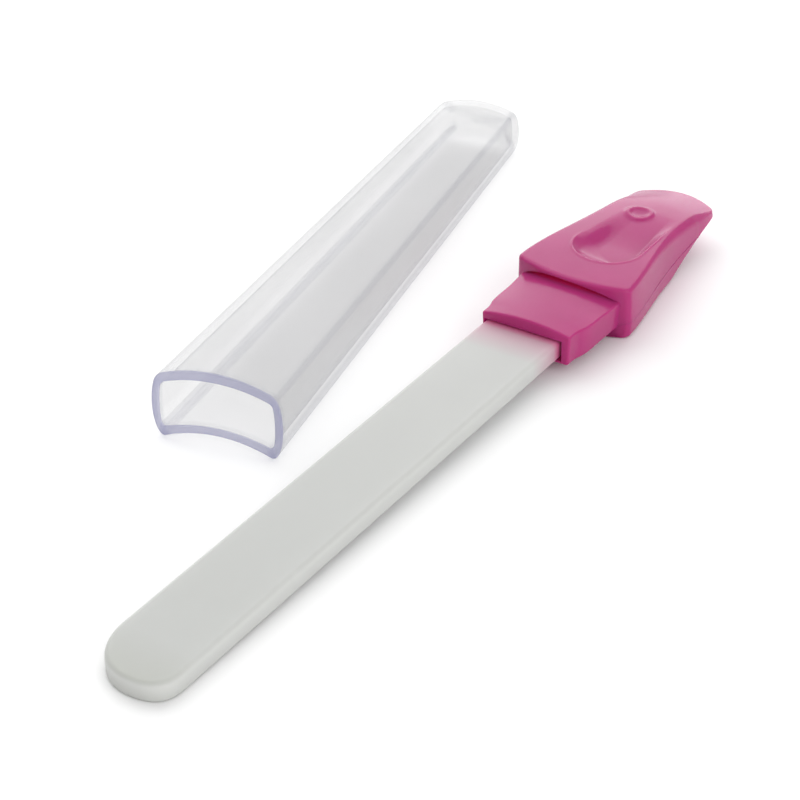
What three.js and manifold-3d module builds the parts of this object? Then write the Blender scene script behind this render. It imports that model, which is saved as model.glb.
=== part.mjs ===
// Glass nail file with a cuticle pusher on the end of its grip, lying beside its clear cap.
// Millimetres, +Z up. The table is z = 0, the origin is the middle of the flat under the grip,
// and +Y is the way the cap's closed end points.
//
// The pusher is drawn in a frame of its own: y = 0 is the tip of the glass and +Y runs to the
// pusher edge, z = 0 is the underside of the glass. The cap is drawn with y = 0 at its mouth.
import * as THREE from 'three';
import { mergeVertices } from 'three/addons/utils/BufferGeometryUtils.js';
import Module from 'manifold-3d';

const wasm = await Module();
wasm.setup();

// ---- driving dimensions ----

const GAP = 0.3;                      // clearance between neighbouring pieces

const GLASS_THICKNESS = 3;
const GLASS_HALF_WIDTH = 6.6;
const GLASS_VISIBLE = 98.5;           // from the tip to the mouth of the neck
const TANG_LENGTH = 25;               // glass inside the neck and the grip
const GLASS_EDGE = 0.5;               // ground edge
const GLASS_OFFSET = -0.3;            // the glass sits a little to one side of its slot

const NECK_BOTTOM = -0.9;
const NECK_SIDE_TOP = 4.2;
const NECK_CROWN_TOP = 5.1;
const NECK_LEAD_IN = 2.8;             // slightly narrower start that guides the cap on
const NECK_LEAD_HALF_WIDTH = 7.8;
const NECK_FRONT_HALF_WIDTH = 8.3;
const NECK_BACK_HALF_WIDTH = 8.8;
const SLOT_HALF_WIDTH = 7.2;
const SLOT_TOP = 3.5;

const SHOULDER_Y = 113.6;             // corners of the grip's front face
const SHOULDER_BOW = 2.7;             // the middle of that face stands this far forward
const GRIP_END = 152.7;
const SEAM_Z = 0;                     // seam between the grip's body and its cover
const SEAM_KNEE_Y = 136;
const COVER_END_Y = 147;
const COVER_END_Z = 1;
const GRIP_WALL = 1.6;
const COVER_WALL = 1.3;
const COVER_FLOOR = 1.1;
const CAVITY_START_Y = 115.2;
const CAVITY_END_Y = 142;
const CAVITY_TOP = 3.4;
const CAVITY_END_TOP = 2.2;
const PIN_RADIUS = 1.1;
const PIN_TOP = 2;
const BOSS_RADIUS = 2.3;
const BOSS_ROOT = 0.4;                // how far a boss runs into the roof above it
const PIN_PLACES = [128.5, 136];
const PIN_FOOT = -2.4;                // inside the cover's floor
const PIN_FOOT_RISE = 0.15;           // follows the floor where it curves up

// Extents of the blanks and cutters, clear of every face they must not touch.
const BLANK_START_Y = 109;
const BLANK_END_Y = GRIP_END + 1;
const BLANK_HALF_WIDTH = 12;
const BLANK_FLOOR = -6;
const BLANK_CEILING = 9;

const REST_TILT = THREE.MathUtils.degToRad(1.4);   // the grip holds its end of the glass up
const PUSHER_YAW = THREE.MathUtils.degToRad(-11.4);
const FOOT_MIDDLE_Y = 124;
const FOOT_END_Y = 134;

const CAP_LENGTH = 112;
const CAP_HALF_WIDTH = 10.45;
const CAP_HEIGHT = 12.4;
const CAP_END_WALL = 1.3;
const CAP_CORNER = 2.4;               // rounding of the closed end
const CAP_OUTER_TAPER = [0.745, 0.72];   // width and height at the closed end, as shares of the mouth
const CAP_INNER_TAPER = [0.735, 0.75];
const CAP_MOUTH = new THREE.Vector3(-38.1, -64.8, 0);

const UNDERSIDE_SLOPE = Math.tan(REST_TILT);
const footZ = (y) => -UNDERSIDE_SLOPE * y;

// ---- making and joining solids ----

function toSolid(geometry) {
  const bare = geometry.index ? geometry.toNonIndexed() : geometry.clone();
  bare.deleteAttribute('normal');
  bare.deleteAttribute('uv');
  const merged = mergeVertices(bare, 1e-4);
  return new wasm.Manifold(new wasm.Mesh({
    numProp: 3,
    vertProperties: new Float32Array(merged.attributes.position.array),
    triVerts: new Uint32Array(merged.index.array),
  }));
}

function toGeometry(solid) {
  const mesh = solid.getMesh();
  const geometry = new THREE.BufferGeometry();
  geometry.setAttribute('position', new THREE.BufferAttribute(mesh.vertProperties, 3));
  geometry.setIndex(new THREE.BufferAttribute(mesh.triVerts, 1));
  geometry.computeVertexNormals();
  return geometry;
}

// An outline in x and y, standing from one height to another.
function upright(shape, low, high) {
  const geometry = new THREE.ExtrudeGeometry(shape, {
    depth: high - low, bevelEnabled: false, curveSegments: 16,
  });
  return toSolid(geometry.translate(0, 0, low));
}

// An outline in y and z, running the same way to both sides of x = 0.
function crosswise(shape, halfWidth) {
  const geometry = new THREE.ExtrudeGeometry(shape, {
    depth: 2 * halfWidth, bevelEnabled: false, curveSegments: 16,
  });
  geometry.rotateX(Math.PI / 2).rotateZ(Math.PI / 2);
  return toSolid(geometry.translate(-halfWidth, 0, 0));
}

// An outline in x and z, running along y.
function lengthwise(shape, start, end) {
  const geometry = new THREE.ExtrudeGeometry(shape, {
    depth: end - start, bevelEnabled: false, curveSegments: 16,
  });
  return toSolid(geometry.rotateX(Math.PI / 2).translate(0, end, 0));
}

function block(low, high) {
  const size = new THREE.Vector3().subVectors(high, low);
  const middle = new THREE.Vector3().addVectors(low, high).multiplyScalar(0.5);
  return toSolid(new THREE.BoxGeometry(size.x, size.y, size.z).translate(middle.x, middle.y, middle.z));
}

function post(radius, y, low, high) {
  const geometry = new THREE.CylinderGeometry(radius, radius, high - low, 24);
  return toSolid(geometry.rotateX(Math.PI / 2).translate(0, y, (low + high) / 2));
}

function piece(name, solid, material) {
  const mesh = new THREE.Mesh(toGeometry(solid), material);
  mesh.name = name;
  return mesh;
}

// ---- the glass ----

function glassBlade() {
  const half = GLASS_HALF_WIDTH - GLASS_EDGE;
  const end = GLASS_VISIBLE + TANG_LENGTH - GLASS_EDGE;
  const tip = 5.4;
  const outline = new THREE.Shape();
  outline.moveTo(half, tip);
  outline.lineTo(half, end);
  outline.lineTo(-half, end);
  outline.lineTo(-half, tip);
  outline.bezierCurveTo(-half, tip * 0.35, -half * 0.55, GLASS_EDGE, 0.4, GLASS_EDGE);
  outline.bezierCurveTo(half * 0.65, GLASS_EDGE, half, tip * 0.22, half, tip);
  const geometry = new THREE.ExtrudeGeometry(outline, {
    depth: GLASS_THICKNESS - 2 * GLASS_EDGE,
    bevelThickness: GLASS_EDGE,
    bevelSize: GLASS_EDGE,
    bevelSegments: 2,
    curveSegments: 12,
  });
  return toSolid(geometry.translate(GLASS_OFFSET, 0, GLASS_EDGE));
}

// ---- the grip ----

// Half the grip's plan, from the shoulder's corner to the corner of the pusher edge.
const GRIP_SIDE = [
  [10.1, SHOULDER_Y], [10.1, 116], [9.1, 122.5], [7.85, 131], [7.2, 139], [7.1, 145], [7.3, 150],
];

// Heights along the grip, as y and z. The underside is flat on the table, then curves up.
const GRIP_FRONT_TOP = 6.5;
const GRIP_TOP = [[118, 6.5], [127, 6.15], [137, 5.35], [145, 4.3], [150, 3.2], [BLANK_END_Y, 2.4]];
const UNDERSIDE = [[140, -1.7], [146, 0.2], [BLANK_END_Y, 1.5]];
const TIP_UNDERSIDE_START = 0.4;      // where the grip's body takes over from the cover

const toPoints = (pairs) => pairs.map(([u, v]) => new THREE.Vector2(u, v));

function gripOutline(inset) {
  const right = GRIP_SIDE.map(([x, y]) => new THREE.Vector2(x - inset, y));
  const left = right.map((point) => new THREE.Vector2(-point.x, point.y)).reverse();
  const shoulder = right[0];
  const corner = right.at(-1);
  const outline = new THREE.Shape();
  outline.moveTo(-shoulder.x, SHOULDER_Y);
  outline.quadraticCurveTo(0, SHOULDER_Y - 2 * SHOULDER_BOW, shoulder.x, SHOULDER_Y);
  outline.splineThru(right.slice(1));
  outline.quadraticCurveTo(0, 2 * GRIP_END - corner.y, -corner.x, corner.y);
  outline.splineThru(left.slice(1));
  return outline;
}

// The seam runs level, then rises to the thin end of the cover.
function followSeamBack(shape, offset) {
  shape.lineTo(COVER_END_Y, COVER_END_Z + offset);
  shape.lineTo(SEAM_KNEE_Y, SEAM_Z + offset);
}

function gripTop() {
  const side = new THREE.Shape();
  side.moveTo(BLANK_START_Y, SEAM_Z + GAP / 2);
  side.lineTo(BLANK_START_Y, GRIP_FRONT_TOP);
  side.splineThru(toPoints(GRIP_TOP));
  side.lineTo(...UNDERSIDE.at(-1));
  side.lineTo(COVER_END_Y + GAP, TIP_UNDERSIDE_START);
  side.lineTo(COVER_END_Y + GAP, COVER_END_Z + GAP / 2);
  followSeamBack(side, GAP / 2);
  return upright(gripOutline(0), BLANK_FLOOR, BLANK_CEILING)
    .intersect(crosswise(side, BLANK_HALF_WIDTH));
}

function neck() {
  const step = GLASS_VISIBLE + NECK_LEAD_IN;
  const back = SHOULDER_Y + 1;
  const stepEnd = step + 0.6;
  const plan = new THREE.Shape(toPoints([
    [-NECK_LEAD_HALF_WIDTH, GLASS_VISIBLE], [NECK_LEAD_HALF_WIDTH, GLASS_VISIBLE],
    [NECK_LEAD_HALF_WIDTH, step], [NECK_FRONT_HALF_WIDTH, stepEnd],
    [NECK_BACK_HALF_WIDTH, back], [-NECK_BACK_HALF_WIDTH, back],
    [-NECK_FRONT_HALF_WIDTH, stepEnd], [-NECK_LEAD_HALF_WIDTH, step],
  ]));
  const half = NECK_BACK_HALF_WIDTH + 1;
  const section = new THREE.Shape();
  section.moveTo(-half, NECK_BOTTOM);
  section.lineTo(half, NECK_BOTTOM);
  section.lineTo(half, NECK_SIDE_TOP);
  section.quadraticCurveTo(0, 2 * NECK_CROWN_TOP - NECK_SIDE_TOP, -half, NECK_SIDE_TOP);
  return upright(plan, BLANK_FLOOR, BLANK_CEILING)
    .intersect(lengthwise(section, GLASS_VISIBLE - 1, back + 1));
}

// Shallow scoop for the thumb: the lower part of a long egg.
const SCOOP_RADII = [5.7, 10.8, 2.2];
const SCOOP_MIDDLE = [0.4, 128.6, 6.7];

function thumbScoop() {
  return toSolid(new THREE.SphereGeometry(1, 32, 16).scale(...SCOOP_RADII).translate(...SCOOP_MIDDLE));
}

// Low dimpled button at the far end of the scoop, as radius and height.
const BUTTON_PROFILE = [
  [0, -1.4], [2.5, -1.4], [2.5, -0.1], [2.1, 0.35], [1.7, 0.35], [1.1, -0.1], [0, -0.3],
];
const BUTTON_MIDDLE = [-0.8, 138, 5.3];
const BUTTON_TILT = -0.14;            // leans with the falling top of the grip

function thumbButton() {
  const geometry = new THREE.LatheGeometry(toPoints(BUTTON_PROFILE), 32);
  geometry.rotateX(Math.PI / 2 + BUTTON_TILT);
  return toSolid(geometry.translate(...BUTTON_MIDDLE));
}

function handleBody() {
  const room = new THREE.Shape(toPoints([
    [CAVITY_START_Y, BLANK_FLOOR], [CAVITY_END_Y, BLANK_FLOOR], [CAVITY_END_Y, CAVITY_END_TOP],
    [FOOT_END_Y, CAVITY_TOP], [CAVITY_START_Y, CAVITY_TOP],
  ]));
  const cavity = upright(gripOutline(GRIP_WALL), BLANK_FLOOR, BLANK_CEILING)
    .intersect(crosswise(room, BLANK_HALF_WIDTH));
  const slot = block(
    new THREE.Vector3(-SLOT_HALF_WIDTH, GLASS_VISIBLE - 1, -GAP),
    new THREE.Vector3(SLOT_HALF_WIDTH, CAVITY_START_Y + 1, SLOT_TOP),
  );
  let body = gripTop().subtract(cavity).add(neck()).subtract(slot);
  body = body.subtract(thumbScoop()).add(thumbButton());
  for (const y of PIN_PLACES) {
    body = body.add(post(BOSS_RADIUS, y, SEAM_Z + GAP / 2, CAVITY_TOP + BOSS_ROOT));
    body = body.subtract(post(PIN_RADIUS + GAP, y, BLANK_FLOOR, PIN_TOP + GAP));
  }
  return body;
}

function handleCover() {
  const side = new THREE.Shape();
  side.moveTo(BLANK_START_Y, footZ(BLANK_START_Y));
  side.lineTo(FOOT_END_Y, footZ(FOOT_END_Y));
  side.splineThru(toPoints(UNDERSIDE));
  side.lineTo(...GRIP_TOP.at(-1));
  followSeamBack(side, -GAP / 2);
  side.lineTo(BLANK_START_Y, SEAM_Z - GAP / 2);
  const outer = upright(gripOutline(0), BLANK_FLOOR, BLANK_CEILING)
    .intersect(crosswise(side, BLANK_HALF_WIDTH))
    .subtract(block(
      new THREE.Vector3(-BLANK_HALF_WIDTH, COVER_END_Y, BLANK_FLOOR),
      new THREE.Vector3(BLANK_HALF_WIDTH, BLANK_END_Y, BLANK_CEILING),
    ));
  const [bendY, bendZ] = UNDERSIDE[0];
  const hollow = new THREE.Shape(toPoints([
    [CAVITY_START_Y, footZ(CAVITY_START_Y) + COVER_FLOOR],
    [FOOT_END_Y, footZ(FOOT_END_Y) + COVER_FLOOR],
    [bendY, bendZ + COVER_FLOOR], [CAVITY_END_Y, BLANK_CEILING], [CAVITY_START_Y, BLANK_CEILING],
  ]));
  const inner = upright(gripOutline(COVER_WALL), BLANK_FLOOR, BLANK_CEILING)
    .intersect(crosswise(hollow, BLANK_HALF_WIDTH));
  const neckRoom = block(
    new THREE.Vector3(-NECK_BACK_HALF_WIDTH - GAP, BLANK_START_Y - 1, NECK_BOTTOM - GAP),
    new THREE.Vector3(NECK_BACK_HALF_WIDTH + GAP, SHOULDER_Y + 1 + GAP, BLANK_CEILING),
  );
  let cover = outer.subtract(inner).subtract(neckRoom);
  for (const y of PIN_PLACES) {
    const foot = PIN_FOOT + Math.max(0, y - FOOT_END_Y) * PIN_FOOT_RISE;
    cover = cover.add(post(PIN_RADIUS, y, foot, PIN_TOP));
  }
  return cover;
}

// Cured adhesive that beds the end of the glass on the cover's floor.
function tangAdhesive() {
  const [halfWidth, start, end] = [5, 117.5, 122.5];
  return block(
    new THREE.Vector3(-halfWidth, start, footZ(start) + COVER_FLOOR + GAP),
    new THREE.Vector3(halfWidth, end, -GAP),
  );
}

// ---- the cap ----

// A section that is tapered along y, with a rounded or square far end.
function tapered(section, length, [endScaleX, endScaleZ], corner) {
  const straightSteps = 8;
  const places = [];
  for (let i = 0; i < straightSteps; i += 1) {
    places.push({ y: (length - corner) * i / straightSteps, round: 0 });
  }
  const arcSteps = corner > 0 ? 5 : 0;
  const lastAngle = 0.92 * Math.PI / 2;
  for (let i = 0; i <= arcSteps; i += 1) {
    const angle = arcSteps ? lastAngle * i / arcSteps : 0;
    places.push({ y: length - corner + corner * Math.sin(angle), round: corner * (1 - Math.cos(angle)) });
  }
  const steps = places.length - 1;
  const geometry = new THREE.ExtrudeGeometry(section, {
    depth: 1, steps, bevelEnabled: false, curveSegments: 12,
  });
  const position = geometry.attributes.position;
  for (let i = 0; i < position.count; i += 1) {
    const place = places[Math.round(position.getZ(i) * steps)];
    const along = place.y / length;
    const halfWidth = CAP_HALF_WIDTH * THREE.MathUtils.lerp(1, endScaleX, along);
    const halfHeight = CAP_HEIGHT / 2 * THREE.MathUtils.lerp(1, endScaleZ, along);
    const x = position.getX(i) * THREE.MathUtils.lerp(1, endScaleX, along);
    const z = position.getY(i) * THREE.MathUtils.lerp(1, endScaleZ, along);
    const shrunkX = x * (halfWidth - place.round) / halfWidth;
    const shrunkZ = halfHeight + (z - halfHeight) * (halfHeight - place.round) / halfHeight;
    position.setXYZ(i, -shrunkX, place.y, shrunkZ);
  }
  return toSolid(geometry);
}

// Arched top, hollowed underside that leaves two feet, and sides that bulge a little.
function capOutside() {
  const section = new THREE.Shape();
  section.moveTo(-8.7, 0);
  section.quadraticCurveTo(0, 3.6, 8.7, 0);
  section.lineTo(9.2, 0);
  section.bezierCurveTo(10.7, 1.6, 10.85, 6.4, 10, 9.2);
  section.quadraticCurveTo(9.5, 10.6, 8, 11);
  section.quadraticCurveTo(0, 2 * CAP_HEIGHT - 11, -8, 11);
  section.quadraticCurveTo(-9.5, 10.6, -10, 9.2);
  section.bezierCurveTo(-10.85, 6.4, -10.7, 1.6, -9.2, 0);
  return section;
}

function capInside() {
  const section = new THREE.Shape();
  section.moveTo(-8.4, 2);
  section.quadraticCurveTo(0, 4.8, 8.4, 2);
  section.bezierCurveTo(9.3, 2.6, 9.4, 6.6, 8.8, 8.3);
  section.quadraticCurveTo(8.6, 8.9, 8, 9);
  section.quadraticCurveTo(0, 11.6, -8, 9);
  section.quadraticCurveTo(-8.6, 8.9, -8.8, 8.3);
  section.bezierCurveTo(-9.4, 6.6, -9.3, 2.6, -8.4, 2);
  return section;
}

function protectiveCap() {
  const mouth = 0.5;                  // the hollow starts ahead of the rim, so the cut is clean
  const outside = tapered(capOutside(), CAP_LENGTH, CAP_OUTER_TAPER, CAP_CORNER);
  const inside = tapered(capInside(), CAP_LENGTH - CAP_END_WALL + mouth, CAP_INNER_TAPER, 0);
  return outside.subtract(inside.translate([0, -mouth, 0]));
}

// ---- colours ----

const frostedGlass = new THREE.MeshStandardMaterial({ color: '#ccd0cb', roughness: 0.55, metalness: 0 });
const pinkPlastic = new THREE.MeshStandardMaterial({ color: '#c8508f', roughness: 0.2, metalness: 0 });
const clearPlastic = new THREE.MeshStandardMaterial({
  color: '#e6e7f0', roughness: 0.08, metalness: 0, transparent: true, opacity: 0.3,
});
const adhesive = new THREE.MeshStandardMaterial({ color: '#e9e4da', roughness: 0.4, metalness: 0 });

// ---- assembly ----

const group = new THREE.Group();

const pusher = new THREE.Group();
pusher.rotation.set(REST_TILT, 0, PUSHER_YAW, 'ZYX');
pusher.position.set(0, -FOOT_MIDDLE_Y / Math.cos(REST_TILT), 0)
  .applyAxisAngle(new THREE.Vector3(0, 0, 1), PUSHER_YAW);
pusher.add(
  piece('glass_blade', glassBlade(), frostedGlass),
  piece('handle_body', handleBody(), pinkPlastic),
  piece('handle_cover', handleCover(), pinkPlastic),
  piece('tang_adhesive', tangAdhesive(), adhesive),
);

const cap = piece('protective_cap', protectiveCap(), clearPlastic);
cap.position.copy(CAP_MOUTH);

group.add(pusher, cap);

export default group;
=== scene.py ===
"""Glass nail file with a cuticle pusher on its grip, lying beside its clear protective cap.

The pusher is shaped in its own frame, in millimetres: y = 0 is the tip of the glass, +Y runs to
the pusher edge and z = 0 is the underside of the glass. The cap has y = 0 at its mouth.
"""
import math

import bmesh
import bpy
import numpy as np
from mathutils import Matrix, Vector


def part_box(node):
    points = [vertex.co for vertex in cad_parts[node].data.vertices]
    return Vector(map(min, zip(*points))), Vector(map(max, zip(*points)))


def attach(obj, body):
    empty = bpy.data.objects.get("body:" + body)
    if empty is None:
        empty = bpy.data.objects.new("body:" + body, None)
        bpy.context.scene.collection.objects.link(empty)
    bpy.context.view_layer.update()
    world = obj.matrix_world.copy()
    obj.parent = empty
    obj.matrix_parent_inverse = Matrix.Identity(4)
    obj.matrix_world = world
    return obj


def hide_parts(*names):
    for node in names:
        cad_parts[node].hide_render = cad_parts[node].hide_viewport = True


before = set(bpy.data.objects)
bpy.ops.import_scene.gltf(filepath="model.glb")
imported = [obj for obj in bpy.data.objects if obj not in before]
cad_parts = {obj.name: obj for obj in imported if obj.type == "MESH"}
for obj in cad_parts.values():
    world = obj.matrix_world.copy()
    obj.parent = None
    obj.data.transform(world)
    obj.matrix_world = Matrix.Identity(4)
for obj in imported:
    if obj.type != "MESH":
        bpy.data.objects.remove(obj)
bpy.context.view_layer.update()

MM = 0.001

# ---- sizes in millimetres ----
# The overall sizes are the CAD model's. The edges of the glass, the neck, the slot, the seam, the
# grip's curves and the cap's walls differ from it a little, and the cover ends 1.8 mm sooner.

REST_TILT = math.radians(1.4)
PUSHER_YAW = math.radians(-11.4)
FOOT_MIDDLE = 124

GLASS_THICKNESS = 3.0
GLASS_HALF_WIDTH = 6.6
GLASS_VISIBLE = 98.5
TANG_LENGTH = 25.0
GLASS_OFFSET = -0.3
GLASS_EDGE = 0.8                # ground rounding of the upper edge
GLASS_LOWER_EDGE = 0.4
GLASS_FLAT_START = 0.4          # ring that keeps the rounding off the flat faces

NECK_LOW = -0.75
NECK_HIGH = 5.2
NECK_CROWN = 0.8
NECK_CROWN_GROWTH = 0.3         # how much higher the crown is at the shoulder

SLOT_LEFT = -7.05
SLOT_RIGHT = 6.85
SLOT_BOTTOM = -0.3
SLOT_TOP = 3.12
SLOT_MOUTH_TOP = 3.3
SLOT_MOUTH_DEPTH = 0.4

SHOULDER = 113.6
SHOULDER_BOW = 2.7
SHOULDER_BOW_HALF_WIDTH = 10.6
SHOULDER_ROUND = 0.8
SHOULDER_TOP_SHARE = 0.55       # how far the rounding lowers the top, as a share of it
OPENING_DEPTH = 1.4
OPENING_HALF_WIDTH = 8.3
OPENING_GAP = 0.85
OPENING_EDGE = 0.3              # gap at which the opening reaches its full depth
SEAM_GAP = 0.1
SEAM_HAIRLINE = 0.02
SEAM_RISE = 0.35
TIP_ROUND = 0.45
GRIP_END = 152.7
GRIP_CROWN = 0.3
END_BOW = 2.4
END_BOW_HALF_WIDTH = 7.0
COVER_END = 145.2
FOOT_END = 134.0
LEAST_THICKNESS = 0.04

SCOOP_REGION_START = 116
SCOOP_START = 125               # ahead of this the scoop is round, behind it is a channel
SCOOP_LENGTH = 6.9
SCOOP_MIDDLE = 0.75
SCOOP_HALF_WIDTH = 5.65
SCOOP_NARROWING = 0.075
SCOOP_DEPTH = 1.6
SCOOP_LIP = 0.1

BUTTON_MIDDLE = (-1.0, 137.8)
BUTTON_RADIUS = 1.9
BUTTON_HEIGHT = 0.34
BUTTON_DIMPLE = 0.1

CAP_LENGTH = 112.0
CAP_END_WALL = 1.3
CAP_CORNER = 2.4
CAP_INNER_CORNER = 1.6
CAP_RIM = 0.3                   # rounding of the mouth
CAP_OUTER_TAPER = (0.745, 0.72)
CAP_INNER_TAPER = (0.735, 0.75)
CAP_STATIONS = 90


# ---- places ----

def pusher_place():
    """From the pusher's frame to the row frame, in metres."""
    turn = Matrix.Rotation(PUSHER_YAW, 4, "Z")
    back = Matrix.Translation((0, -FOOT_MIDDLE / math.cos(REST_TILT), 0))
    return Matrix.Scale(MM, 4) @ turn @ back @ Matrix.Rotation(REST_TILT, 4, "X")


def cap_place():
    low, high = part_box("protective_cap")
    return Matrix.Translation(((low.x + high.x) / 2, low.y, low.z)) @ Matrix.Scale(MM, 4)


# ---- curves and sections ----

def smooth(points):
    """A natural cubic spline through (place, value) points, as a function of place."""
    x, y = (np.array(c, float) for c in zip(*points))
    n = len(x)
    h = np.diff(x)
    system = np.eye(n)
    right = np.zeros(n)
    for i in range(1, n - 1):
        system[i, i - 1:i + 2] = h[i - 1], 2 * (h[i - 1] + h[i]), h[i]
        right[i] = 6 * ((y[i + 1] - y[i]) / h[i] - (y[i] - y[i - 1]) / h[i - 1])
    bend = np.linalg.solve(system, right)

    def value(place):
        p = np.clip(np.asarray(place, float), x[0], x[-1])
        i = np.clip(np.searchsorted(x, p) - 1, 0, n - 2)
        a, b = x[i + 1] - p, p - x[i]
        chord = y[i] * a / h[i] + y[i + 1] * b / h[i]
        curved = (a ** 3 / h[i] - h[i] * a) * bend[i] + (b ** 3 / h[i] - h[i] * b) * bend[i + 1]
        return chord + curved / 6

    return value


def ease(value, start, end):
    """0 before start, 1 after end, smooth between."""
    t = np.clip((np.asarray(value, float) - start) / (end - start), 0, 1)
    return t * t * (3 - 2 * t)


def bezier(points, steps):
    """Points along a quadratic or cubic Bezier curve, without its last point."""
    t = np.linspace(0, 1, steps, endpoint=False)[:, None]
    p = [np.array(q, float) for q in points]
    u = 1 - t
    if len(p) == 3:
        return u ** 2 * p[0] + 2 * t * u * p[1] + t ** 2 * p[2]
    return u ** 3 * p[0] + 3 * t * u ** 2 * p[1] + 3 * t ** 2 * u * p[2] + t ** 3 * p[3]


def corner(centre_x, centre_z, radius, start, end, steps):
    """Points along an arc, without its last point. Angles are in degrees from +X."""
    a = np.radians(np.linspace(start, end, steps, endpoint=False))
    return np.stack([centre_x + radius * np.cos(a), centre_z + radius * np.sin(a)], 1)


def straight(start, end, steps):
    t = np.linspace(0, 1, steps, endpoint=False)[:, None]
    return np.array(start, float) * (1 - t) + np.array(end, float) * t


# ---- meshes ----

def skin(name, rings, place):
    """A mesh over rings of points, shaped (rings, points, 3), closed at its two ends."""
    count, size = rings.shape[:2]
    points = rings.reshape(-1, 3)
    ring = np.arange(size)
    following = (ring + 1) % size
    faces = []
    for i in range(count - 1):
        a, b = i * size, (i + 1) * size
        faces += np.stack([a + ring, a + following, b + following, b + ring], 1).tolist()
    faces.append(ring[::-1].tolist())
    faces.append(((count - 1) * size + ring).tolist())
    mesh = bpy.data.meshes.new(name)
    mesh.from_pydata([place @ Vector(p) for p in points.tolist()], [], faces)
    mesh.validate()
    mesh.update()
    piece = bpy.data.objects.new(name, mesh)
    bpy.context.scene.collection.objects.link(piece)
    return piece


def note(piece, name, values):
    """Stores one number per point, for the piece's material to read."""
    attribute = piece.data.attributes.new(name, "FLOAT", "POINT")
    attribute.data.foreach_set("value", np.asarray(values, np.float32))


def tidy_mesh(piece):
    """Joins points that lie on each other, and drops the faces that this leaves without area."""
    nearest = 0.001 * MM
    shape = bmesh.new()
    shape.from_mesh(piece.data)
    bmesh.ops.remove_doubles(shape, verts=shape.verts, dist=nearest)
    bmesh.ops.dissolve_degenerate(shape, edges=shape.edges, dist=nearest)
    shape.to_mesh(piece.data)
    shape.free()


def smooth_shading(piece, angle):
    """Shades smooth, but for edges that turn by more than angle degrees."""
    piece.data.shade_smooth()
    piece.data.set_sharp_from_angle(angle=math.radians(angle))


def cut(piece, low, high, place):
    """Takes a block out of a piece. The walls that this leaves are marked for the painted red glow
    of the crevices.
    """
    corners = [
        (x, y, z)
        for x in (low[0], high[0]) for y in (low[1], high[1]) for z in (low[2], high[2])
    ]
    faces = [(0, 1, 3, 2), (4, 6, 7, 5), (0, 4, 5, 1), (2, 3, 7, 6), (0, 2, 6, 4), (1, 5, 7, 3)]
    mesh = bpy.data.meshes.new("cutter")
    mesh.from_pydata([place @ Vector(c) for c in corners], [], faces)
    cutter = bpy.data.objects.new("cutter", mesh)
    note(cutter, "along", np.full(len(corners), GLASS_VISIBLE))
    note(cutter, "painted_glow_mask", np.ones(len(corners)))
    bpy.context.scene.collection.objects.link(cutter)
    modifier = piece.modifiers.new("cut", "BOOLEAN")
    modifier.operation = "DIFFERENCE"
    modifier.solver = "EXACT"
    modifier.object = cutter
    bpy.context.view_layer.update()
    evaluated = piece.evaluated_get(bpy.context.evaluated_depsgraph_get())
    result = bpy.data.meshes.new_from_object(evaluated)
    piece.modifiers.clear()
    old = piece.data
    piece.data = result
    bpy.data.meshes.remove(old)
    bpy.data.objects.remove(cutter)
    bpy.data.meshes.remove(mesh)


def finish_piece(piece, node, body, material):
    piece.data.materials.clear()
    piece.data.materials.append(material)
    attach(piece, body)
    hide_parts(node)


# ---- the glass ----

def glass_outline(inset):
    """The file's plan, with its blunt rounded tip, moved inwards by inset."""
    half = GLASS_HALF_WIDTH
    end = GLASS_VISIBLE + TANG_LENGTH
    foremost = (1.0, 0.25)
    right_start, left_start = 4.8, 9.0
    plan = np.concatenate([
        straight((half, end), (half, right_start), 120),
        bezier([(half, right_start), (half, 1.5), (4.7, 0.15), foremost], 40),
        bezier([foremost, (-4.3, 0.4), (-half, 5.4), (-half, left_start)], 50),
        straight((-half, left_start), (-half, end), 120),
        straight((-half, end), (half, end), 20),
    ])
    along = np.roll(plan, -1, 0) - np.roll(plan, 1, 0)
    along /= np.linalg.norm(along, axis=1)[:, None]
    outwards = np.stack([-along[:, 1], along[:, 0]], 1)
    return plan - outwards * inset


def glass_blade(material):
    low, high = GLASS_LOWER_EDGE, GLASS_EDGE
    levels = [(low + GLASS_FLAT_START, 0.0)]
    for a in np.radians(np.linspace(0, 90, 7)):
        levels.append((low * (1 - math.sin(a)), low * (1 - math.cos(a))))
    for a in np.radians(np.linspace(90, 0, 8)):
        levels.append((high * (1 - math.sin(a)), GLASS_THICKNESS - high * (1 - math.cos(a))))
    levels.append((high + GLASS_FLAT_START, GLASS_THICKNESS))
    rings = []
    for inset, z in levels:
        plan = glass_outline(inset)
        x = plan[:, 0] + GLASS_OFFSET
        rings.append(np.column_stack([x, plan[:, 1], np.full(len(plan), z)]))
    rings = np.array(rings)[:, ::-1]
    piece = skin("frosted_glass_file", rings, pusher_place())
    middle = GLASS_THICKNESS / 2
    note(piece, "along", rings[..., 1].ravel())
    # The sides, marked as edge, get painted light in the material.
    note(piece, "edge", ease(middle - np.abs(rings[..., 2].ravel() - middle), 0.0, 0.6))
    smooth_shading(piece, 50)
    finish_piece(piece, "glass_blade", "pusher", material)


# ---- the grip ----

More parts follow.
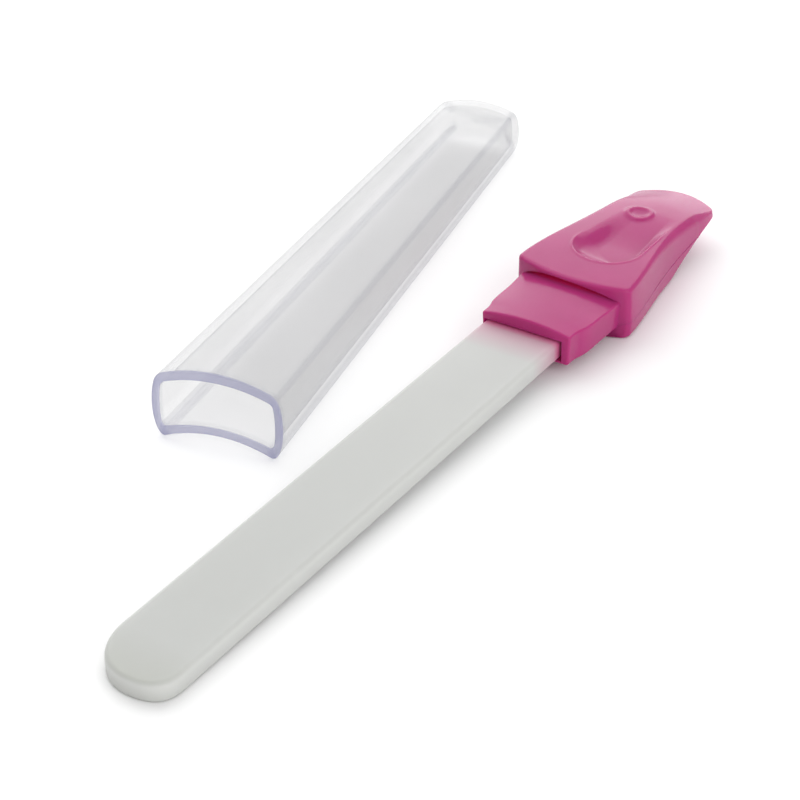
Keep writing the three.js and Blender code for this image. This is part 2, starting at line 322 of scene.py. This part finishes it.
# Each curve gives a half-width, an x or a height for a place y.
grip_half_width = smooth([
    (110, 10.2), (SHOULDER, 10.2), (116, 10.1), (119.4, 9.7), (123, 9.15), (127, 8.55),
    (132, 7.95), (137, 7.55), (143, 7.35), (147, 7.3), (149.5, 7.35), (151.2, 7.3),
    (152.2, 7.0), (GRIP_END, 6.5),
])
grip_middle = smooth([
    (GLASS_VISIBLE, 0.45), (110, 0.4), (114, 0.3), (122, 0.05), (132, -0.3), (142, -0.5),
    (GRIP_END, -0.45),
])
grip_top = smooth([
    (110, 6.6), (114, 6.65), (118, 6.65), (127, 6.3), (137, 5.5), (145, 4.4), (150, 3.3),
    (GRIP_END, 2.7),
])
underside = smooth([
    (FOOT_END, -math.tan(REST_TILT) * FOOT_END), (140, -1.7), (146, 0.25), (GRIP_END, 1.8),
])
neck_half_width = smooth([
    (GLASS_VISIBLE, 7.8), (100.6, 7.85), (101.2, 7.95), (101.9, 8.15), (102.6, 8.3),
    (108, 8.55), (SHOULDER, 8.8),
])


def seam(y):
    """Height of the seam between the grip's body and its cover."""
    return SEAM_RISE * ease(y, FOOT_END, 148)


def seam_gap(y):
    """Width of the seam, which closes to a hairline at the shoulder."""
    return SEAM_HAIRLINE + (SEAM_GAP - SEAM_HAIRLINE) * float(ease(y, 117, 124))


def bottom(y):
    """Height of the underside: level with the table as far as the end of the foot."""
    flat = -math.tan(REST_TILT) * np.asarray(y, float)
    return np.where(np.asarray(y) < FOOT_END, flat, underside(y))


def bowed(y, x):
    """The shoulder stands forward in its middle, and the pusher edge is an arc."""
    arc = 1 - np.clip(x / SHOULDER_BOW_HALF_WIDTH, -1, 1) ** 2
    front = -SHOULDER_BOW * arc * ease(y, 100, SHOULDER) * (1 - ease(y, 114, 124))
    end = -END_BOW * (x / END_BOW_HALF_WIDTH) ** 2 * ease(y, 138, GRIP_END)
    return y + front + end


def grip_section(half_top, half_bottom, low, high, crown, top_round, bottom_round, top_steps=70):
    """Rounded section with a crowned top, in x and z, from the middle of its underside."""
    side_top = high - crown
    reach = half_top - top_round
    right = np.concatenate([
        straight((0, low), (half_bottom - bottom_round, low), 10),
        corner(half_bottom - bottom_round, low + bottom_round, bottom_round, -90, 0, 6),
        straight((half_bottom, low + bottom_round), (half_top, side_top - top_round), 14),
        corner(reach, side_top - top_round, top_round, 0, 90, 10),
    ])
    x = np.linspace(reach, 0, top_steps + 1)
    top = np.stack([x, side_top + crown * (1 - (x / reach) ** 2)], 1)
    right = np.concatenate([right, top])
    left = right[-2:0:-1] * (-1, 1)
    return np.concatenate([right, left])


def thumb_scoop(x, y):
    """Depth of the spoon-shaped scoop: a crisp rim, a steep right wall and a bowl-like left one."""
    half = SCOOP_HALF_WIDTH - SCOOP_NARROWING * (y - SCOOP_START)
    across = (x - SCOOP_MIDDLE) / half
    near = np.maximum(SCOOP_START - y, 0) / SCOOP_LENGTH
    r = np.hypot(across, near)
    rightness = ease(across, -0.1, 0.55)
    floor_edge = 0.3 + 0.4 * rightness
    power = 2.1 - 0.95 * rightness
    t = np.clip((r - floor_edge) / (1 - floor_edge), 0, 1)
    softness = (1 - rightness) * ease(y, 121, 127)
    depth = SCOOP_DEPTH * (1 - t ** power * (1 - softness) - ease(t, 0, 1) * softness)
    lip = SCOOP_LIP * np.exp(-((r - 1.03) / 0.03) ** 2) * (1 - softness)
    return depth * (1 - ease(y, 126, 140.5)) - lip * (1 - ease(y, 130, 138))


def thumb_button(x, y):
    """Height of the low ring with a dimple in its middle, at the far end of the scoop."""
    r = np.hypot(x - BUTTON_MIDDLE[0], y - BUTTON_MIDDLE[1])
    ring = BUTTON_HEIGHT * np.exp(-((r - BUTTON_RADIUS) / 0.6) ** 2)
    return ring - BUTTON_DIMPLE * np.exp(-(r / 0.8) ** 2)


def shrink(section, inset, top=1.0, bottom=1.0):
    """The section drawn in for a rounded end. Its top or bottom may stay where it is."""
    half = section[:, 0].max()
    low, high = section[:, 1].min(), section[:, 1].max()
    new_low, new_high = low + inset * bottom, high - inset * top
    x = section[:, 0] * (half - inset) / half
    thickness = max(new_high - new_low, LEAST_THICKNESS)
    z = new_low + (section[:, 1] - low) * thickness / (high - low)
    return np.stack([x, z], 1)


def ring_at(section, y):
    """A section set at a place along the grip. y is one number, or one for each point."""
    x, z = section[:, 0], section[:, 1]
    along = bowed(np.zeros(len(x)) + y, x)
    lean = -0.03 * x * ease(z, 2, 5) * ease(along, 104, 113)
    return np.column_stack([x + grip_middle(along), along, z + lean])


def neck_ring(y):
    half = float(neck_half_width(y))
    crown = NECK_CROWN + NECK_CROWN_GROWTH * float(ease(y, 99, 111))
    return grip_section(half, half - 0.15, NECK_LOW, NECK_HIGH, crown, 0.4, 0.6)


def opening(section):
    """How much room the shoulder's opening leaves over the neck: a lens-shaped gap."""
    x, z = section[:, 0] / OPENING_HALF_WIDTH, section[:, 1]
    gap = OPENING_GAP * np.clip(1 - np.abs(x) ** 3, 0, 1) * (1 - 0.25 * x)
    return gap * ease(z, 2.6, 3.6)


def body_ring(y):
    half = float(grip_half_width(y))
    softer = float(ease(y, 118, 140))
    low = float(seam(y)) + seam_gap(y) / 2 if y < COVER_END else float(underside(y))
    high = float(grip_top(y))
    top_round = min(0.75 + 0.9 * softer, (high - GRIP_CROWN - low) * 0.45)
    groove = seam_gap(y) * 0.6
    return grip_section(half - 0.05, half + 0.1, low, high, GRIP_CROWN, top_round, groove)


def rounded_start(y, radius, steps):
    """(place, inset) pairs that round the start of a loft."""
    return [(y + radius * (1 - math.sin(a)), radius * (1 - math.cos(a)))
            for a in np.radians(np.linspace(80, 0, steps))]


def neck_rings():
    start = [
        ring_at(shrink(neck_ring(GLASS_VISIBLE), inset), y)
        for y, inset in rounded_start(GLASS_VISIBLE, 0.4, 6)
    ]
    places = np.arange(GLASS_VISIBLE + 0.6, SHOULDER - 0.05, 0.25)
    return start + [ring_at(neck_ring(y), y) for y in places]


def opening_rings(root, ceiling, reach):
    """Into the opening along the neck, and back out along its ceiling."""
    inwards = OPENING_DEPTH * reach
    return [
        ring_at(root, SHOULDER),
        ring_at(root, SHOULDER + inwards * 0.5),
        ring_at(root, SHOULDER + inwards),
        ring_at(ceiling, SHOULDER + inwards),
        ring_at(ceiling, SHOULDER + inwards * 0.5),
        ring_at(ceiling, SHOULDER + 0.1 * reach),
    ]


def shoulder_rings(ceiling, reach):
    """The shoulder's front face and its rounded lip."""
    face = shrink(body_ring(SHOULDER), SHOULDER_ROUND, SHOULDER_TOP_SHARE, 0)
    lip = ceiling + np.stack([reach * 0, 0.08 * reach], 1)
    front = [
        ring_at(lip * (1 - t) + face * t, SHOULDER + 0.02 * t)
        for t in np.linspace(0, 1, 7)
    ]
    for a in np.radians(np.linspace(78, 0, 9)):
        y = SHOULDER + 0.02 + SHOULDER_ROUND * (1 - math.sin(a))
        inset = SHOULDER_ROUND * (1 - math.cos(a))
        front.append(ring_at(shrink(body_ring(y), inset, SHOULDER_TOP_SHARE, 0), y))
    return front


def grip_rings():
    """The grip from behind the shoulder to its rounded pusher edge."""
    places = np.arange(SHOULDER + 1.1, GRIP_END - TIP_ROUND, 0.2)
    grip = [ring_at(body_ring(y), y) for y in places]
    for a in np.radians(np.linspace(0, 88, 12)):
        y = GRIP_END - TIP_ROUND + TIP_ROUND * math.sin(a)
        section = body_ring(y)
        thinning = (section[:, 1].max() - section[:, 1].min()) / 2 / TIP_ROUND
        inset = TIP_ROUND * (1 - math.cos(a))
        grip.append(ring_at(shrink(section, inset, thinning, thinning), y))
    return grip


def handle_body(material):
    root = neck_ring(SHOULDER)
    gap = opening(root)
    reach = np.minimum(gap / OPENING_EDGE, 1)
    ceiling = root + np.stack([gap * 0, gap], 1)
    neck = neck_rings()
    mouth = opening_rings(root, ceiling, reach)
    rings = np.array(neck + mouth + shoulder_rings(ceiling, reach) + grip_rings())
    x, y, z = (rings[..., i] for i in range(3))
    on_top = (z > body_top_limit(y)) & (y > SCOOP_REGION_START)
    z += np.where(on_top, thumb_button(x, y) - thumb_scoop(x, y), 0)
    place = pusher_place()
    piece = skin("grip_body", rings, place)
    note(piece, "along", y.ravel())
    # The walls of the opening under the shoulder are marked for the painted red glow.
    painted_glow_mask = np.zeros(y.shape)
    painted_glow_mask[len(neck) + 1:len(neck) + len(mouth)] = reach
    note(piece, "painted_glow_mask", painted_glow_mask.ravel())
    tidy_mesh(piece)
    before_neck = GLASS_VISIBLE - 2
    cut(piece, (SLOT_LEFT, before_neck, SLOT_BOTTOM), (SLOT_RIGHT, SHOULDER - 0.5, SLOT_TOP), place)
    cut(piece, (SLOT_LEFT, before_neck, SLOT_TOP - 1),
        (SLOT_RIGHT, GLASS_VISIBLE + SLOT_MOUTH_DEPTH, SLOT_MOUTH_TOP), place)
    smooth_shading(piece, 40)
    finish_piece(piece, "handle_body", "pusher", material)


def body_top_limit(y):
    """Points above this height belong to the grip's upper face."""
    return grip_top(np.clip(y, SHOULDER, GRIP_END)) - 0.75


def handle_cover(material):
    def section(y):
        half = float(grip_half_width(y)) + 0.1
        lift = SHOULDER_BOW * (1 - float(ease(y, 122, FOOT_END)))
        low, high = float(bottom(y - lift)), float(seam(y)) - seam_gap(y) / 2
        rounding = min(0.9, (high - low) * 0.45)
        groove = min(seam_gap(y) * 0.6, rounding)
        return grip_section(half, half - 0.05, low, high, 0.0, groove, rounding, 24)

    start = SHOULDER + 0.02
    end = COVER_END - 0.08
    rings = [
        ring_at(shrink(section(y), inset, 0, 0.4), y)
        for y, inset in rounded_start(start, SHOULDER_ROUND, 9)
    ]
    rings += [ring_at(section(y), y) for y in np.arange(start + 1, COVER_END - 0.1, 0.3)]
    rings.append(ring_at(section(end), end))
    rings = np.array(rings)
    piece = skin("grip_cover", rings, pusher_place())
    note(piece, "along", rings[..., 1].ravel())
    note(piece, "painted_glow_mask", np.zeros(rings[..., 1].size))
    smooth_shading(piece, 40)
    finish_piece(piece, "handle_cover", "pusher", material)


# ---- the cap ----

def mirrored(right):
    """A whole section from its right half, which starts and ends on the middle line."""
    return np.concatenate([right, right[-2:0:-1] * (-1, 1)])


def cap_outside():
    """Arched top, bulging sides and a hollowed underside that leaves two feet."""
    right = np.concatenate([
        bezier([(0, 1.8), (4.35, 1.8), (8.7, 0.0)], 24),
        bezier([(8.7, 0.0), (9.0, 0.02), (9.25, 0.2)], 4),
        bezier([(9.25, 0.2), (10.7, 1.7), (10.85, 6.4), (10.0, 9.2)], 24),
        bezier([(10.0, 9.2), (9.5, 10.6), (8.0, 11.0)], 12),
        bezier([(8.0, 11.0), (4.2, 12.4), (0, 12.4)], 24),
        [(0, 12.4)],
    ])
    return mirrored(right)


def cap_inside():
    right = np.concatenate([
        bezier([(0, 3.15), (4.2, 3.15), (8.35, 1.75)], 24),
        bezier([(8.35, 1.75), (8.65, 1.7), (8.9, 2.1)], 4),
        bezier([(8.9, 2.1), (9.25, 3.0), (9.3, 6.6), (8.95, 8.5)], 24),
        bezier([(8.95, 8.5), (8.8, 9.1), (8.0, 9.35)], 12),
        bezier([(8.0, 9.35), (4.2, 10.7), (0, 10.7)], 24),
        [(0, 10.7)],
    ])
    return mirrored(right)


def taper(section, y, shares):
    """The section narrowed for its place y. shares are the closed end's width and height."""
    along = y / CAP_LENGTH
    return section * tuple(1 + (share - 1) * along for share in shares)


def corner_share(rings):
    """1 where a section turns sharply, 0 where it runs straight."""
    ahead = np.roll(rings, -1, 1) - rings
    behind = rings - np.roll(rings, 1, 1)
    ahead_length = np.linalg.norm(ahead, axis=2)
    behind_length = np.linalg.norm(behind, axis=2)
    lengths = ahead_length + behind_length + 1e-6
    cosine = (ahead * behind).sum(2) / (ahead_length * behind_length + 1e-9)
    bend = np.arccos(np.clip(cosine, -1, 1)) / (lengths / 2)
    blurred = (np.roll(bend, 1, 1) + bend + np.roll(bend, -1, 1)) / 3
    return ease(blurred, 0.22, 0.8)


def cap_ring(section, y):
    return np.column_stack([section[:, 0], np.full(len(section), y), section[:, 1]])


def cap_outer_rings():
    """From the closed end to the rim of the mouth."""
    outside = cap_outside()
    rings = []
    for a in np.radians(np.linspace(82, 0, 8)):
        y = CAP_LENGTH - CAP_CORNER + CAP_CORNER * math.sin(a)
        inset = CAP_CORNER * (1 - math.cos(a))
        rings.append(cap_ring(shrink(taper(outside, y, CAP_OUTER_TAPER), inset), y))
    for y in np.linspace(CAP_LENGTH - CAP_CORNER - 1, CAP_RIM, CAP_STATIONS):
        rings.append(cap_ring(taper(outside, y, CAP_OUTER_TAPER), y))
    for a in np.radians(np.linspace(20, 90, 4)):
        inset = CAP_RIM * (1 - math.cos(a))
        rings.append(cap_ring(shrink(outside, inset), CAP_RIM * (1 - math.sin(a))))
    return rings


def cap_inner_rings():
    """From the rim of the mouth to the end of the hollow."""
    inside = cap_inside()
    depth = CAP_LENGTH - CAP_END_WALL
    rings = []
    for a in np.radians(np.linspace(90, 20, 4)):
        inset = -CAP_RIM * (1 - math.cos(a))
        rings.append(cap_ring(shrink(inside, inset), CAP_RIM * (1 - math.sin(a))))
    for y in np.linspace(CAP_RIM, depth - CAP_INNER_CORNER - 1, CAP_STATIONS):
        rings.append(cap_ring(taper(inside, y, CAP_INNER_TAPER), y))
    for a in np.radians(np.linspace(0, 85, 7)):
        y = depth - CAP_INNER_CORNER + CAP_INNER_CORNER * math.sin(a)
        inset = CAP_INNER_CORNER * (1 - math.cos(a))
        rings.append(cap_ring(shrink(taper(inside, y, CAP_INNER_TAPER), inset), y))
    return rings


def upright_share(rings):
    """1 on the cap's outer sides and closed end, 0 on its top and underside."""
    x, y, z = (rings[..., i] for i in range(3))
    side = ease(np.abs(x) / x.max(1)[:, None], 0.88, 0.97)
    end = ease(y, CAP_LENGTH - CAP_CORNER - 0.5, CAP_LENGTH - 0.5)
    return np.maximum(ease(z, 1.0, 3.5) * side, end)


def protective_cap(material):
    outer = np.array(cap_outer_rings())
    rings = np.concatenate([outer, cap_inner_rings()])
    upright = np.zeros(rings.shape[:2])
    upright[:len(outer)] = upright_share(outer)
    rings = rings[::-1]
    piece = skin("clear_cap", rings, cap_place())
    # The rim, corner and upright marks say where the material paints its lilac glow and shade.
    note(piece, "rim", 1 - ease(rings[..., 1].ravel(), 0.05, 0.45))
    note(piece, "corner", corner_share(rings).ravel())
    note(piece, "upright", upright[::-1].ravel())
    smooth_shading(piece, 40)
    finish_piece(piece, "protective_cap", "cap", material)


# ---- materials ----

class Nodes:
    """Short calls for building a material's nodes."""

    def __init__(self, name):
        self.material = bpy.data.materials.new(name)
        self.material.use_nodes = True
        self.tree = self.material.node_tree
        self.shader = self.tree.nodes["Principled BSDF"]

    def node(self, kind, **settings):
        made = self.tree.nodes.new("ShaderNode" + kind)
        for key, value in settings.items():
            setattr(made, key, value)
        return made

    def link(self, start, end):
        self.tree.links.new(start, end)

    def noise(self, scale, detail, rough=0.5):
        made = self.node("TexNoise")
        made.inputs["Scale"].default_value = scale
        made.inputs["Detail"].default_value = detail
        made.inputs["Roughness"].default_value = rough
        self.link(self.node("TexCoord").outputs["Object"], made.inputs["Vector"])
        return made.outputs["Fac"]

    def spread(self, value, low, high, new_low, new_high):
        """Takes low to high over to new_low to new_high, and holds it there."""
        made = self.node("MapRange")
        self.link(value, made.inputs["Value"])
        sockets = ("From Min", "From Max", "To Min", "To Max")
        for key, number in zip(sockets, (low, high, new_low, new_high)):
            made.inputs[key].default_value = number
        return made.outputs["Result"]

    def sum(self, first, second):
        made = self.node("Math", operation="ADD", use_clamp=True)
        self.link(first, made.inputs[0])
        self.link(second, made.inputs[1])
        return made.outputs[0]

    def product(self, first, second):
        made = self.node("Math", operation="MULTIPLY")
        self.link(first, made.inputs[0])
        self.link(second, made.inputs[1])
        return made.outputs[0]

    def mixed(self, factor, first, second):
        made = self.node("Mix", data_type="RGBA")
        self.link(factor, made.inputs["Factor"])
        for socket, colour in ((made.inputs["A"], first), (made.inputs["B"], second)):
            if isinstance(colour, tuple):
                socket.default_value = (*colour, 1)
            else:
                self.link(colour, socket)
        return made.outputs["Result"]

    def attribute(self, name):
        return self.node("Attribute", attribute_name=name).outputs["Fac"]

    def bump(self, height, distance, strength, below=None):
        made = self.node("Bump")
        made.inputs["Distance"].default_value = distance
        made.inputs["Strength"].default_value = strength
        self.link(height, made.inputs["Height"])
        if below is not None:
            self.link(below, made.inputs["Normal"])
        return made.outputs["Normal"]

    def set(self, **values):
        """Sets or links the shader's inputs, with _ for a space, and gives the material."""
        for key, value in values.items():
            socket = self.shader.inputs[key.replace("_", " ")]
            if hasattr(value, "is_output"):
                self.link(value, socket)
            else:
                socket.default_value = value
        return self.material


def frosted_glass():
    n = Nodes("frosted_glass")
    along = n.attribute("along")
    cloud = n.noise(90, 3)
    patchy = n.spread(cloud, 0.3, 0.7, 0, 1)
    face = n.mixed(patchy, (0.505, 0.514, 0.496), (0.533, 0.542, 0.524))
    # Painted light: the glass is made lighter towards the neck.
    lit = n.mixed(n.spread(along, 20, 96, 0, 1), face, (0.545, 0.55, 0.535))
    tip = n.mixed(n.spread(along, 0, 9, 1, 0), lit, (0.47, 0.48, 0.445))
    # Painted light: the sides, which take less light than the top, are made lighter.
    edge = n.spread(n.attribute("edge"), 0, 1, 0, 0.9)
    with_painted_side_light = n.mixed(edge, tip, (0.61, 0.615, 0.595))
    # Painted pink glow: the grip's light and reflection on the glass near the neck, strongest at
    # the slot.
    painted_pink_glow = n.mixed(n.spread(along, 91, 98.9, 0, 0.75), with_painted_side_light, (0.56, 0.19, 0.32))
    painted_pink_glow = n.mixed(n.spread(along, 97.2, 98.6, 0, 0.8), painted_pink_glow, (0.72, 0.08, 0.28))
    grain = n.noise(9000, 2, 0.6)
    n.shader.inputs["Subsurface Radius"].default_value = (1.0, 1.0, 1.0)
    return n.set(
        Base_Color=painted_pink_glow, Roughness=n.spread(cloud, 0.3, 0.7, 0.5, 0.62), IOR=1.5,
        Transmission_Weight=0.12, Subsurface_Weight=0.4, Subsurface_Scale=0.004,
        Normal=n.bump(grain, 0.00002, 0.6),
    )


def pink_plastic():
    n = Nodes("pink_plastic")
    cloud = n.noise(120, 4)
    patchy = n.spread(cloud, 0.3, 0.7, 0, 1)
    colour = n.mixed(patchy, (0.368, 0.028, 0.150), (0.395, 0.033, 0.165))
    # Painted glow: paler towards the thin pusher edge, for light showing through the plastic there.
    painted_end_glow_share = n.spread(n.attribute("along"), 143, 153, 0, 0.32)
    with_painted_end_glow = n.mixed(painted_end_glow_share, colour, (0.62, 0.34, 0.46))
    # Painted glow: a brighter red on the walls of the crevice under the shoulder and of the slot,
    # for light showing through the thin walls into their shade.
    with_painted_crevice_glow = n.mixed(n.attribute("painted_glow_mask"), with_painted_end_glow, (0.70, 0.022, 0.17))
    flow = n.noise(45, 2)
    scuff = n.noise(1600, 4, 0.65)
    n.shader.inputs["Subsurface Radius"].default_value = (1.0, 0.25, 0.5)
    return n.set(
        Base_Color=with_painted_crevice_glow, IOR=1.5, Specular_IOR_Level=0.2,
        Roughness=n.spread(scuff, 0.35, 0.75, 0.15, 0.27),
        Subsurface_Weight=0.3, Subsurface_Scale=0.003,
        Normal=n.bump(flow, 0.00025, 0.25, n.bump(scuff, 0.00001, 0.25)),
    )


def clear_plastic():
    """Faintly grey where it is seen square on, denser along its outline, corners and rim. The
    darker lilac-grey along its outline, corners, outer sides and closed end is painted shade, and
    the lilac of its rim a painted glow.
    """
    n = Nodes("clear_plastic")
    weight = n.node("LayerWeight")
    weight.inputs["Blend"].default_value = 0.3
    facing = weight.outputs["Facing"]
    corner = n.attribute("corner")
    rim = n.attribute("rim")
    # Painted shade: darker lilac-grey along the corners and where the wall is seen edge-on. Painted
    # glow: lilac along the rim.
    tint = n.mixed(corner, (0.40, 0.40, 0.415), (0.26, 0.26, 0.32))
    tint = n.mixed(n.spread(facing, 0.6, 1.0, 0, 1), tint, (0.27, 0.27, 0.33))
    tint = n.mixed(rim, tint, (0.30, 0.30, 0.46))
    # Denser at grazing angles, on the outer sides and closed end, along the corners and at the rim,
    # so that the painted shade and glow show there.
    density = n.spread(facing, 0.42, 1.0, 0.1, 0.46)
    density = n.sum(density, n.spread(n.attribute("upright"), 0, 1, 0, 0.12))
    density = n.sum(density, n.spread(n.noise(60, 3), 0.3, 0.7, -0.01, 0.015))
    density = n.sum(density, n.spread(corner, 0, 1, 0, 0.13))
    density = n.sum(density, n.spread(rim, 0, 1, 0, 0.6))
    # Clear plastic throws a lighter shadow than its outline suggests.
    lamp_share = n.spread(n.node("LightPath").outputs["Is Shadow Ray"], 0, 1, 1, 0.35)
    scuff = n.noise(1300, 4, 0.65)
    return n.set(
        Base_Color=tint, IOR=1.5, Roughness=n.spread(scuff, 0.35, 0.75, 0.05, 0.13),
        Alpha=n.product(density, lamp_share),
        Normal=n.bump(n.noise(70, 2), 0.0002, 0.2),
    )


def adhesive():
    n = Nodes("adhesive")
    cloud = n.noise(300, 3)
    colour = n.mixed(n.spread(cloud, 0.3, 0.7, 0, 1), (0.72, 0.68, 0.58), (0.80, 0.77, 0.69))
    return n.set(Base_Color=colour, Roughness=0.4, Normal=n.bump(cloud, 0.0002, 0.4))


def floor_material():
    n = Nodes("floor")
    return n.set(Base_Color=(0.92, 0.92, 0.92, 1), Roughness=0.9)


# ---- stage, light and camera ----

def make_floor():
    bpy.ops.mesh.primitive_plane_add(size=6, location=(0, 0, 0))
    floor = bpy.context.object
    floor.name = "floor"
    floor.data.materials.append(floor_material())


def soft_light(name, place, size, power):
    """A square lamp that faces the middle of the scene."""
    light = bpy.data.lights.new(name, "AREA")
    light.shape = "SQUARE"
    light.size = size
    light.energy = power
    lamp = bpy.data.objects.new(name, light)
    lamp.location = place
    lamp.rotation_euler = (-Vector(place)).to_track_quat("-Z", "Y").to_euler()
    bpy.context.scene.collection.objects.link(lamp)


def make_lights():
    world = bpy.data.worlds.new("studio")
    world.use_nodes = True
    background = world.node_tree.nodes["Background"]
    background.inputs["Color"].default_value = (1, 1, 1, 1)
    background.inputs["Strength"].default_value = 0.60
    bpy.context.scene.world = world
    soft_light("key", (-0.6, 0.95, 0.95), size=2.2, power=26)
    soft_light("fill", (0.75, -0.65, 0.45), size=1.2, power=7)


def make_camera():
    """Looks down at the pair from in front and to the right of the glass's tip."""
    target = Vector((-18.35, -42.6, 0)) * MM
    azimuth = math.radians(-21.7)
    elevation = math.radians(31.3)
    distance = 0.361
    level = math.cos(elevation)
    away = Vector((-math.sin(azimuth) * level, -math.cos(azimuth) * level, math.sin(elevation)))
    data = bpy.data.cameras.new("camera")
    data.lens = 108
    data.sensor_width = 36
    data.clip_start = 0.01
    camera = bpy.data.objects.new("camera", data)
    camera.location = target + away * distance
    camera.rotation_euler = (-away).to_track_quat("-Z", "Y").to_euler()
    bpy.context.scene.collection.objects.link(camera)
    bpy.context.scene.camera = camera


make_camera()
make_floor()
make_lights()
bpy.context.scene.view_settings.view_transform = "Standard"

pink = pink_plastic()
glass_blade(frosted_glass())
handle_body(pink)
handle_cover(pink)
protective_cap(clear_plastic())

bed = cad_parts["tang_adhesive"]
bed.data.materials.clear()
bed.data.materials.append(adhesive())
